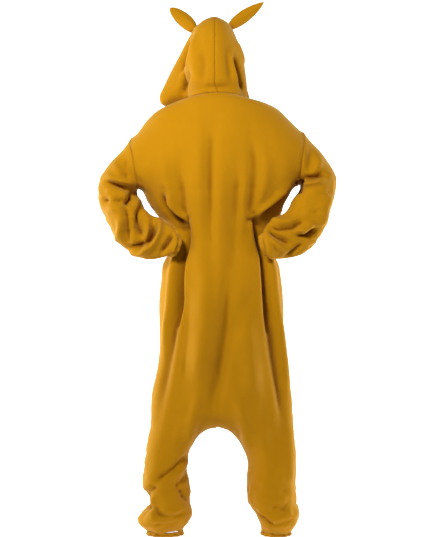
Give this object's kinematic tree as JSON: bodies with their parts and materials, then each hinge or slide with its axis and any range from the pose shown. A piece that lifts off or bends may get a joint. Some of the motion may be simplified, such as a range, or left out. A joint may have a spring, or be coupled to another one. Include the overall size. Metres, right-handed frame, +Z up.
{
  "type": "hooded one-piece kangaroo costume",
  "caption": "Loose hooded one-piece fleece costume with pointed ears, very low crotch and gathered cuffs and hems, holding its worn form with the arms bent to the hips.",
  "frame": {"origin": "middle of the neck at the height of the shoulders, where the wearer's shoulders carry the garment", "axes": "+Z up along the body; -Y out of the back of the garment, +Y out of its front; +X towards the wearer's right arm"},
  "size_m": [0.815, 0.3181, 1.8149],
  "materials": {
    "fleece": "short-napped polyester fleece, matt, soft sheen at the edges",
    "buttons": "satin moulded plastic, slightly darker than the cloth"
  },
  "bodies": {
    "root": {"back": "fleece", "front_left": "fleece", "front_right": "fleece", "placket": "fleece", "sleeve_left": "fleece", "sleeve_right": "fleece", "cuff_left": "fleece", "cuff_right": "fleece", "hood_left": "fleece", "hood_right": "fleece", "ear_left_outer": "fleece", "ear_left_inner": "fleece", "ear_right_outer": "fleece", "ear_right_inner": "fleece", "hem_left": "fleece", "hem_right": "fleece", "button_1": "buttons", "button_2": "buttons", "button_3": "buttons", "button_4": "buttons", "button_5": "buttons", "button_6": "buttons"}
  },
  "joints": []
}
